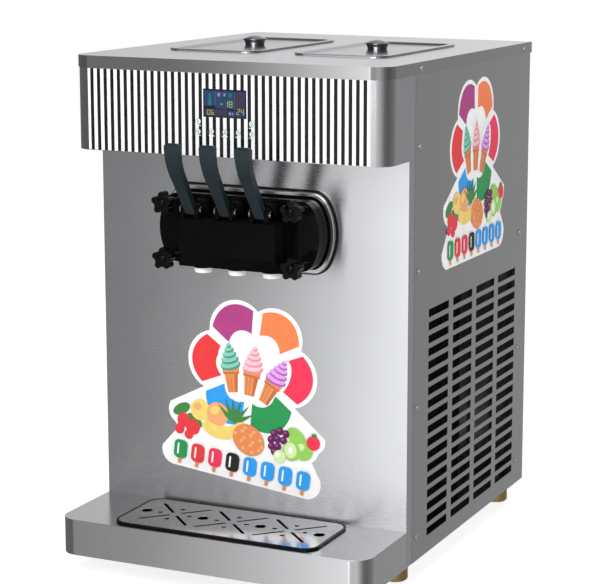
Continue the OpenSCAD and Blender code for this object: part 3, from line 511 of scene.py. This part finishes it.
def key(i):
    node = f"key_{i}"
    low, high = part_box(node)
    cx, cz, r = (low.x + high.x) / 2, (low.z + high.z) / 2, (high.x - low.x) / 2
    bm = bmesh.new()
    edge, cap, stem_r, stem = 0.15 * MM, 4 * MM, 2.5 * MM, 8 * MM
    lathe(bm, [(0, 0), (r - edge, 0), (r, -edge), (r, -cap), (stem_r, -cap), (stem_r, -stem), (0, -stem)],
          (cx, low.y, cz), "-Y", 48)
    split_at_stripes(bm)
    plane = front_plane(cx, low.y, cz)
    if i in (1, 5):
        cone_icon(bm, plane, 0, 1.4, 0.95)
    else:
        prism(bm, oval(0, 2.5, 4.2), 0.04, PRINT, plane, 3)
        prism(bm, oval(0, 2.5, 3.5), 0.06, PRINT, plane, 2)
        prism(bm, bar(-4.7, -5.0, 4.7, -3.5, 0.5), 0.06, PRINT, plane, 2)
        if i == 2:
            for a in (0, 60, 120):
                prism(bm, turned(bar(-2.4, 2.25, 2.4, 2.75), 0, 2.5, a), 0.12 + a / 2000, PRINT, plane, 3)
        elif i == 3:
            prism(bm, [(-1.6, 1.6), (1.6, 1.6), (0, 4.8)], 0.12, PRINT, plane, 3)
            prism(bm, oval(0, 1.6, 1.6, 1.3, a0=180, a1=360), 0.12, PRINT, plane, 3)
        else:
            prism(bm, oval(0, 2.5, 1.9), 0.12, PRINT, plane, 3)
            prism(bm, oval(0, 2.5, 0.9), 0.18, PRINT, plane, 2)
    piece(node + "_cap", bm, KEY_INKS, node, "key_film", node)


KEY_INKS = [FILM_W, FILM_K, ICON_PALE, ICON_GREY, ICON_TEAL]
for i in range(1, 6):
    key(i)

# second pictogram above each outer key
pictograms = bmesh.new()
for node in ("key_1", "key_5"):
    low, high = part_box(node)
    cone_icon(pictograms, front_plane((low.x + high.x) / 2, HOOD_Y, (low.z + high.z) / 2), 0, 17.0, 1.05)
piece("film_pictograms", pictograms, KEY_INKS, "cabinet", "stripe_film")


# ---------------------------------------------------------------- stickers

INKS = {
    "white": (0.93, 0.93, 0.93), "red": (0.80, 0.035, 0.04), "crimson": (0.85, 0.03, 0.09),
    "magenta": (0.42, 0.045, 0.22), "orange": (0.95, 0.22, 0.07), "green": (0.015, 0.30, 0.08),
    "blue": (0.02, 0.33, 0.85), "black": (0.012, 0.012, 0.012), "wafer": (0.76, 0.27, 0.09),
    "wafer_dark": (0.55, 0.14, 0.04), "mint": (0.23, 0.60, 0.47), "mint_dark": (0.06, 0.30, 0.22),
    "rose": (0.90, 0.55, 0.62), "rose_dark": (0.78, 0.25, 0.33), "violet": (0.72, 0.36, 0.78),
    "violet_dark": (0.45, 0.10, 0.50), "yellow": (0.90, 0.66, 0.16), "leaf": (0.05, 0.24, 0.05),
    "lime": (0.30, 0.62, 0.10), "pale_lime": (0.66, 0.82, 0.42), "grape": (0.10, 0.01, 0.09),
    "peach": (0.90, 0.40, 0.16),
}
INK_NAMES = list(INKS)
INK_MATS = [ink("print_" + k, v, 0.36, 0.06) for k, v in INKS.items()]


class Sheet:
    """A printed sticker: shapes in layers on one plane."""

    def __init__(self, to_world):
        self.bm = bmesh.new()
        self.to_world = to_world
        self.layer = 0.0

    def add(self, colour, points, thick=0.012):
        prism(self.bm, points, self.layer, thick, self.to_world, INK_NAMES.index(colour))
        self.layer += thick + 0.002

    def cone(self, x, z, k, lean, light, dark):
        def put(colour, pts):
            self.add(colour, turned([(x + u * k, z + v * k) for u, v in pts], x, z, lean))

        put("white", oval(0, 8, 22, 36))
        put("wafer", [(-16, 2), (16, 2), (14.5, -10), (-14.5, -10)])
        put("wafer", [(-12.5, -10), (12.5, -10), (8.5, -41), (-8.5, -41)])
        put("wafer_dark", [(-15, -7.5), (15, -7.5), (14.4, -10.5), (-14.4, -10.5)])
        put("wafer_dark", [(5.5, -11), (12, -11), (8.2, -40), (4, -40)])
        for i in (-8, -2):
            put("wafer_dark", [(i, -11), (i + 1.2, -11), (i * 0.7 + 1, -40), (i * 0.7, -40)])
        for v, r in ((5, 18.5), (14, 16), (22.5, 12.6), (30, 8.6), (36.5, 4.6)):
            put(dark, oval(0.8, v - 1.2, r, r * 0.36 + 1.4, 8))
            put(light, oval(-0.8, v + 0.8, r - 1.0, r * 0.30 + 1.0, 8))
        put(light, [(-2.4, 37), (2.6, 37.5), (3.4, 45)])

    def fruit(self, x, z, r, body, mark, leaf=None):
        self.add(body, oval(x, z, r))
        self.add(mark, oval(x - r * 0.28, z + r * 0.25, r * 0.42, r * 0.34, 35))
        if leaf:
            for a in (60, 90, 120):
                self.add(leaf, turned([(x, z + r * 0.7), (x + r * 0.22, z + r * 1.05), (x, z + r * 1.45),
                                       (x - r * 0.22, z + r * 1.05)], x, z + r * 0.7, a - 90))


def badge(name, to_world, lean):
    """Die-cut sticker of its own plain design: six rounded petals of colour, cones, fruit and a row of
    ice lollies."""

    def tilt(u, v, w):
        t = math.radians(lean)
        return to_world(u * math.cos(t) - v * math.sin(t), u * math.sin(t) + v * math.cos(t), w)

    s = Sheet(tilt)
    cz = 46.0
    petals = [math.radians(60 * k) for k in range(6)]
    blobs = [(66 * math.cos(a), cz + 66 * math.sin(a), 50) for a in petals]
    blobs += [(-118, -50, 24), (-100, -76, 26), (-104, -88, 17), (-60, -50, 30), (0, -70, 40), (60, -66, 30),
              (90, -66, 30), (108, -64, 24), (122, -48, 20)]
    blobs += [(x, -120, 25) for x in range(-122, 123, 8)]
    outline = []
    for i in range(240):
        c, n = math.cos(math.pi * i / 120), math.sin(math.pi * i / 120)
        reach = 40.0
        for x, z, r in blobs:
            along = x * c + (z - cz) * n
            inside = r * r - (x * x + (z - cz) ** 2 - along ** 2)
            if inside > 0:
                reach = max(reach, along + math.sqrt(inside))
        outline.append((reach * c, cz + reach * n))
    s.add("white", outline, 0.10)
    ring = (("orange", 60), ("crimson", 0), ("green", -60), ("blue", -120), ("red", 180), ("magenta", 120))
    for colour, mid in ring:
        pts = []
        for k in range(19):
            d = -25 + 50 * k / 18
            r = 92 + 17 * math.cos(math.radians(d * 3.2))
            pts.append((r * math.cos(math.radians(mid + d)), cz + r * math.sin(math.radians(mid + d))))
        for k in range(19):
            d = 23 - 46 * k / 18
            r = 56 + 9 * math.cos(math.radians(d * 3.6))
            pts.append((r * math.cos(math.radians(mid + d)), cz + r * math.sin(math.radians(mid + d))))
        s.add(colour, pts)
    s.cone(-38, 40, 1.0, 13, "mint", "mint_dark")
    s.cone(1, 43, 1.02, -1, "rose", "rose_dark")
    s.cone(42, 34, 1.02, -22, "violet", "violet_dark")
    # fruit
    s.add("leaf", oval(-118, -48, 17, 9, 35))
    s.add("leaf", oval(-92, -62, 16, 8, -30))
    s.fruit(-84, -42, 18, "yellow", "peach")
    s.fruit(-52, -42, 20, "peach", "yellow")
    for x, z, r in ((-112, -66, 12), (-94, -74, 13), (-118, -82, 9), (-100, -88, 8)):
        s.fruit(x, z, r, "red", "crimson")
    outer = oval(-42, -48, 42, 34, 12, 20, 200, 340)
    inner = list(reversed(oval(-42, -36, 36, 24, 12, 20, 205, 335)))
    s.add("yellow", outer + inner)
    for a in (-50, -28, -8, 14, 36, 58):
        s.add("leaf", turned([(-22, -50), (-18, -34), (-22, -8), (-26, -34)], -22, -50, -a))
    s.add("wafer", oval(8, -72, 30, 25, -24))
    for i in range(-3, 4):
        for j in range(-2, 3):
            u = 8 + i * 8.2 + (j % 2) * 4.1
            v = -72 + j * 8.4 - i * 2.2
            if ((u - 8) / 27) ** 2 + ((v + 72) / 22) ** 2 < 1:
                s.add("peach" if (i + j) % 2 else "orange", oval(u, v, 3.3, 3.0))
    s.add("lime", oval(92, -48, 20, 13, -35))
    for x, z in ((52, -50), (62, -44), (73, -46), (48, -61), (59, -58), (70, -58), (50, -72), (61, -70),
                 (56, -80)):
        s.fruit(x, z, 6.4, "grape", "magenta")
    s.fruit(106, -66, 17, "lime", "pale_lime")
    s.fruit(86, -72, 16, "lime", "pale_lime")
    s.add("pale_lime", oval(84, -71, 11, 13, 10))
    s.add("white", oval(84, -71, 4, 6, 10))
    s.fruit(66, -86, 11, "pale_lime", "white")
    s.fruit(122, -50, 12, "crimson", "red", "leaf")
    # row of ice lollies
    z0, z1 = -140, -100
    for k, colour in enumerate(("green", "red", "crimson", "black", "blue", "blue", "blue", "blue")):
        x = -112 + 32 * k
        s.add("wafer", bar(x - 3, z0, x + 3, z0 + 14, 2))
        s.add(colour, bar(x - 12, z0 + 9, x + 12, z1, 8))
        s.add("white", bar(x - 6, z0 + 15, x - 3, z1 - 6, 1.2))
    piece(name, s.bm, INK_MATS, "cabinet", "stripe_film")


badge("sticker_front", front_plane(-0.006, FRONT_Y, 0.283), -7)
badge("sticker_side", lambda u, v, w: Vector((SIDE_X + w * MM, 0.0855 + u * MM, 0.630 + v * MM)), 0)


# ---------------------------------------------------------------- lids


def rounded_loop(w, d, r, steps=8):
    out = []
    for sx, sy, a in ((1, 1, 0), (-1, 1, 90), (-1, -1, 180), (1, -1, 270)):
        for k in range(steps + 1):
            t = math.radians(a + 90 * k / steps)
            out.append((sx * (w / 2 - r) + r * math.cos(t), sy * (d / 2 - r) + r * math.sin(t)))
    return out


def lid(side):
    """Pressed lid: flat flange, sunk panel and four creases that rise to its middle."""
    node = f"lid_{side}"
    low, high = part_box(node)
    c = (low + high) / 2
    w, d = (high.x - low.x) / MM, (high.y - low.y) / MM
    flange_z, flange_t = high.z / MM, 1.4
    bm = bmesh.new()
    floor = low.z / MM + flange_t
    a, b = (w - 26) / 2, (d - 26) / 2
    profile = [
        (w - 8, d - 8, 21, flange_z - flange_t), (w, d, 25, flange_z - flange_t),
        (w, d, 25, flange_z - 0.5),
        (w - 1, d - 1, 24.5, flange_z), (w - 20, d - 20, 18, flange_z), (w - 23, d - 23, 17, flange_z - 0.8),
        (w - 25, d - 25, 16.5, floor + 1.2), (w - 27, d - 27, 16, floor + 0.3), (w - 30, d - 30, 15, floor),
    ]
    loops = []
    for lw, ld, r, z in profile:
        loops.append([bm.verts.new((c.x + x * MM, c.y + y * MM, z * MM)) for x, y in rounded_loop(lw, ld, r)])
    rise = 1.6
    inner = rounded_loop(w - 30, d - 30, 15)
    for t in (0.999, 0.66, 0.33):
        loops.append([
            bm.verts.new((c.x + x * t * MM, c.y + y * t * MM,
                          (floor + rise * (1 - t * max(abs(x) / a, abs(y) / b))) * MM))
            for x, y in inner
        ])
    n = len(inner)
    for p, q in zip(loops, loops[1:]):
        for i in range(n):
            bm.faces.new((p[i], p[(i + 1) % n], q[(i + 1) % n], q[i]))
    top = bm.verts.new((c.x, c.y, (floor + rise) * MM))
    for i in range(n):
        bm.faces.new((loops[-1][i], loops[-1][(i + 1) % n], top))
    # underside
    under = [(w - 8, d - 8, 21, flange_z - flange_t), (w - 22, d - 22, 18, flange_z - flange_t),
             (w - 22, d - 22, 18, low.z / MM)]
    prev = loops[0]
    for lw, ld, r, z in under[1:]:
        ring = [bm.verts.new((c.x + x * MM, c.y + y * MM, z * MM)) for x, y in rounded_loop(lw, ld, r)]
        for i in range(n):
            bm.faces.new((prev[i], ring[i], ring[(i + 1) % n], prev[(i + 1) % n]))
        prev = ring
    bm.faces.new(list(reversed(prev)))
    piece(node + "_pressing", bm, LID, node, "brushed_steel", node, smooth=1.0)


def lid_handle(side):
    """Squat turned knob: waisted foot, sharp rim and a low dome."""
    node = f"lid_knob_{side}"
    low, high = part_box(node)
    c = (low + high) / 2
    r, h = (high.x - low.x) / 2, high.z - low.z
    bm = bmesh.new()
    profile = [(0, 0.0004), (0.79 * r, 0.0004)]
    waist = ((0.80, 0.05), (0.82, 0.22), (0.87, 0.42), (0.93, 0.53), (0.985, 0.59), (1, 0.62), (1, 0.66),
             (0.985, 0.69), (0.90, 0.73))
    profile += [(u * r, v * h) for u, v in waist]
    for k in range(1, 9):
        t = k / 8
        profile.append((0.90 * r * (1 - t), (0.73 + 0.27 * math.sin(math.pi / 2 * t) ** 0.9) * h))
    profile[-1] = (0, h)
    lathe(bm, profile, (c.x, c.y, low.z), "Z", 72)
    # The knob is drawn in chrome darkened with painted shade.
    piece(node + "_turning", bm, CHROME_PAINTED_SHADE, BODY_OF[node], "polished_steel", node, smooth=40)


for side in ("left", "right"):
    lid(side)
    lid_handle(side)


# ---------------------------------------------------------------- handles, knobs, studs

STUD_R = 4.5 * MM

for side in ("left", "centre", "right"):
    softened(f"handle_{side}", 2.4 * MM, SLATE, 4, 25)
    # The plungers are drawn in black plastic in place of their slot's white: painted shade behind the
    # handles.
    softened(f"plunger_{side}", 0.5 * MM, BLACK, 2, 30)

for row_name in ("upper", "lower"):
    for side in ("left", "right"):
        node = f"head_knob_{row_name}_{side}"
        softened(node, 1.8 * MM, KNOB, 3, 35)
        low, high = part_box(node)
        cx, cz = (low.x + high.x) / 2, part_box("head_studs")[1].z - STUD_R
        cz = cz if row_name == "upper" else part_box("head_studs")[0].z + STUD_R
        bm = bmesh.new()
        dome = [(0, -2), (7.6, -2), (7.6, 0.2), (7.2, 0.7), (6.6, 0.8), (6.2, 0.5), (6.0, 0.9), (5.0, 1.7),
                (3.6, 2.3), (1.8, 2.7), (0, 2.8)]
        lathe(bm, [(r * MM, h * MM) for r, h in dome], (cx, low.y, cz), "-Y", 48)
        piece(node + "_insert", bm, KNOB, node, "black_plastic", smooth=40)


SCREW_H = 2.8  # height of a screw's head, mm


def screws():
    """Pan-head cross-recess screws in the cabinet's sides."""
    one = bmesh.new()
    dome = [(0, -1.5), (4.5, -1.5), (4.5, 0.0), (4.5, 1.0), (4.2, 1.7), (3.5, 2.2), (2.4, 2.6), (1.2, 2.75),
            (0, SCREW_H)]
    lathe(one, [(r * MM, h * MM) for r, h in dome], (0, 0, 0), "X", 32)
    mesh = bpy.data.meshes.new("screw")
    one.to_mesh(mesh)
    one.free()
    tmp = bpy.data.objects.new("screw", mesh)
    scene.collection.objects.link(tmp)
    for degrees, reach in ((20, 2.4), (110, 2.3)):
        slot = bmesh.new()
        bmesh.ops.create_cube(slot, size=1, matrix=Matrix.Rotation(math.radians(degrees), 4, "X")
                              @ Matrix.Translation((2.6 * MM, 0, 0))
                              @ Matrix.Diagonal((reach * MM, 2 * reach * MM, 0.9 * MM, 1)))
        cut(tmp, slot)
    bm = bmesh.new()
    data = tmp.data
    holes = []
    parts = bmesh.new()
    parts.from_mesh(NODES["panel_screws"].data)
    bmesh.ops.remove_doubles(parts, verts=parts.verts, dist=1e-6)
    seen = set()
    for v in parts.verts:
        if v in seen:
            continue
        stack, group = [v], []
        seen.add(v)
        while stack:
            q = stack.pop()
            group.append(q.co.copy())
            for e in q.link_edges:
                o = e.other_vert(q)
                if o not in seen:
                    seen.add(o)
                    stack.append(o)
        xs, ys, zs = [p.x for p in group], [p.y for p in group], [p.z for p in group]
        holes.append((max(xs) if max(xs) > 0 else min(xs), (min(ys) + max(ys)) / 2, (min(zs) + max(zs)) / 2))
    parts.free()
    for k, (x, y, z) in enumerate(sorted(holes)):
        s = 1 if x > 0 else -1
        half_turn = 0 if s > 0 else math.pi
        m = Matrix.Translation((x - s * SCREW_H * MM, y, z)) @ Matrix.Rotation(half_turn, 4, "Z")
        m = m @ Matrix.Rotation(math.radians(37 * k), 4, "X")
        copy = data.copy()
        copy.transform(m)
        bm.from_mesh(copy)
        bpy.data.meshes.remove(copy)
    bpy.data.objects.remove(tmp)
    piece("panel_screws_crosshead", bm, SCREW, "cabinet", "polished_steel", "panel_screws", smooth=35)


screws()


# ---------------------------------------------------------------- everything that keeps its CAD shape

for node, obj in NODES.items():
    mat = BY_SLOT[SLOT_OF[node]]
    obj.data.materials.clear()
    obj.data.materials.append(mat)
    if not obj.hide_render:
        obj.data.shade_smooth()
        obj.data.set_sharp_from_angle(angle=math.radians(35))


# ---------------------------------------------------------------- floor, light, camera


def floor():
    n = Nodes("floor_white")
    pale = n.ramp(n.noise(0.6, 3), (0.3, (0.36, 0.36, 0.36)), (0.7, (0.38, 0.38, 0.38)))
    n.link(pale, n.bsdf.inputs["Base Color"])
    n.bsdf.inputs["Roughness"].default_value = 0.7
    n.bsdf.inputs["Specular IOR Level"].default_value = 0.1
    n.bsdf.inputs["Emission Color"].default_value = (1, 1, 1, 1)
    n.bsdf.inputs["Emission Strength"].default_value = 0.85
    bm = bmesh.new()
    bmesh.ops.create_grid(bm, x_segments=8, y_segments=8, size=30)
    mesh = bpy.data.meshes.new("floor")
    bm.to_mesh(mesh)
    bm.free()
    mesh.materials.append(n.mat)
    obj = bpy.data.objects.new("floor", mesh)
    obj.location.z = -0.0003
    obj.visible_glossy = False
    scene.collection.objects.link(obj)


def studio():
    """White backdrop for the eye, and a ring of soft bright and dark zones for the steel to mirror."""
    world = bpy.data.worlds.new("studio")
    scene.world = world
    world.use_nodes = True
    tree = world.node_tree
    tree.nodes.clear()
    add = tree.nodes.new
    out = add("ShaderNodeOutputWorld")
    coord = add("ShaderNodeTexCoord")
    split = add("ShaderNodeSeparateXYZ")
    tree.links.new(coord.outputs["Generated"], split.inputs[0])
    flip = add("ShaderNodeMath")
    flip.operation = "MULTIPLY"
    flip.inputs[1].default_value = -1
    tree.links.new(split.outputs["Y"], flip.inputs[0])
    angle = add("ShaderNodeMath")
    angle.operation = "ARCTAN2"
    tree.links.new(split.outputs["X"], angle.inputs[0])
    tree.links.new(flip.outputs[0], angle.inputs[1])
    part = add("ShaderNodeMapRange")
    part.inputs["From Min"].default_value = -math.pi
    part.inputs["From Max"].default_value = math.pi
    tree.links.new(angle.outputs[0], part.inputs["Value"])
    ramp = add("ShaderNodeValToRGB")
    zones = ((-180, 0.60), (-160, 0.60), (-148, 0.50), (-136, 0.12), (-45, 0.10), (-36, 0.18), (-31, 0.18),
             (-28.2, 0.19), (-25.2, 0.60), (-23, 1.20), (-21.5, 1.38), (-18.5, 1.30), (-14, 0.60), (-5, 0.36),
             (12, 0.36), (24, 0.48), (36, 0.44), (54, 0.26), (70, 0.13), (90, 0.10), (118, 0.14), (148, 0.18),
             (157, 0.22), (164, 0.30), (172, 0.48), (180, 0.60))
    cr = ramp.color_ramp
    while len(cr.elements) < len(zones):
        cr.elements.new(0.5)
    for e, (deg, v) in zip(cr.elements, zones):
        e.position = (deg + 180) / 360
        e.color = (v, v, v * 1.01, 1)
    tree.links.new(part.outputs["Result"], ramp.inputs["Fac"])
    soft = add("ShaderNodeBackground")
    tree.links.new(ramp.outputs["Color"], soft.inputs["Color"])
    soft.inputs["Strength"].default_value = 1.25
    seen = add("ShaderNodeBackground")
    seen.inputs["Color"].default_value = (1, 1, 1, 1)
    path = add("ShaderNodeLightPath")
    mix = add("ShaderNodeMixShader")
    tree.links.new(path.outputs["Is Camera Ray"], mix.inputs[0])
    tree.links.new(soft.outputs[0], mix.inputs[1])
    tree.links.new(seen.outputs[0], mix.inputs[2])
    tree.links.new(mix.outputs[0], out.inputs["Surface"])


def softbox(name, at, aim, w, h, power, glossy=True):
    light = bpy.data.lights.new(name, "AREA")
    light.shape = "RECTANGLE"
    light.size, light.size_y, light.energy = w, h, power
    obj = bpy.data.objects.new(name, light)
    obj.location = at
    obj.rotation_euler = (Vector(aim) - Vector(at)).to_track_quat("-Z", "Y").to_euler()
    obj.visible_camera = False
    obj.visible_glossy = glossy
    scene.collection.objects.link(obj)


floor()
studio()
softbox("key_front", (0.3, -3.0, 2.4), (0, -0.2, 0.5), 1.8, 1.8, 62)
softbox("right_window", (2.4, -1.1, 1.5), (0, -0.2, 0.5), 0.7, 1.1, 16, False)
softbox("overhead", (-0.2, 0.2, 3.0), (0, 0, 0.8), 2.0, 2.0, 30, False)

EYE = Vector((1.4001, -2.9303, 1.0600))
AZ, EL, ROLL = (math.radians(a) for a in (23.10, 10.28, 0.39))
back = Vector((math.sin(AZ) * math.cos(EL), -math.cos(AZ) * math.cos(EL), math.sin(EL)))
level = Vector((math.cos(AZ), math.sin(AZ), 0))
above = back.cross(level)
right = level * math.cos(ROLL) + above * math.sin(ROLL)
up = above * math.cos(ROLL) - level * math.sin(ROLL)
camera = bpy.data.cameras.new("camera")
camera.sensor_width = 36
camera.lens = 117.38
camera.shift_x = -0.1439
camera.shift_y = -0.050
camera_obj = bpy.data.objects.new("camera", camera)
camera_obj.matrix_world = Matrix(
    [[right[i], up[i], back[i], EYE[i]] for i in range(3)] + [[0, 0, 0, 1]]
)
scene.collection.objects.link(camera_obj)
scene.camera = camera_obj
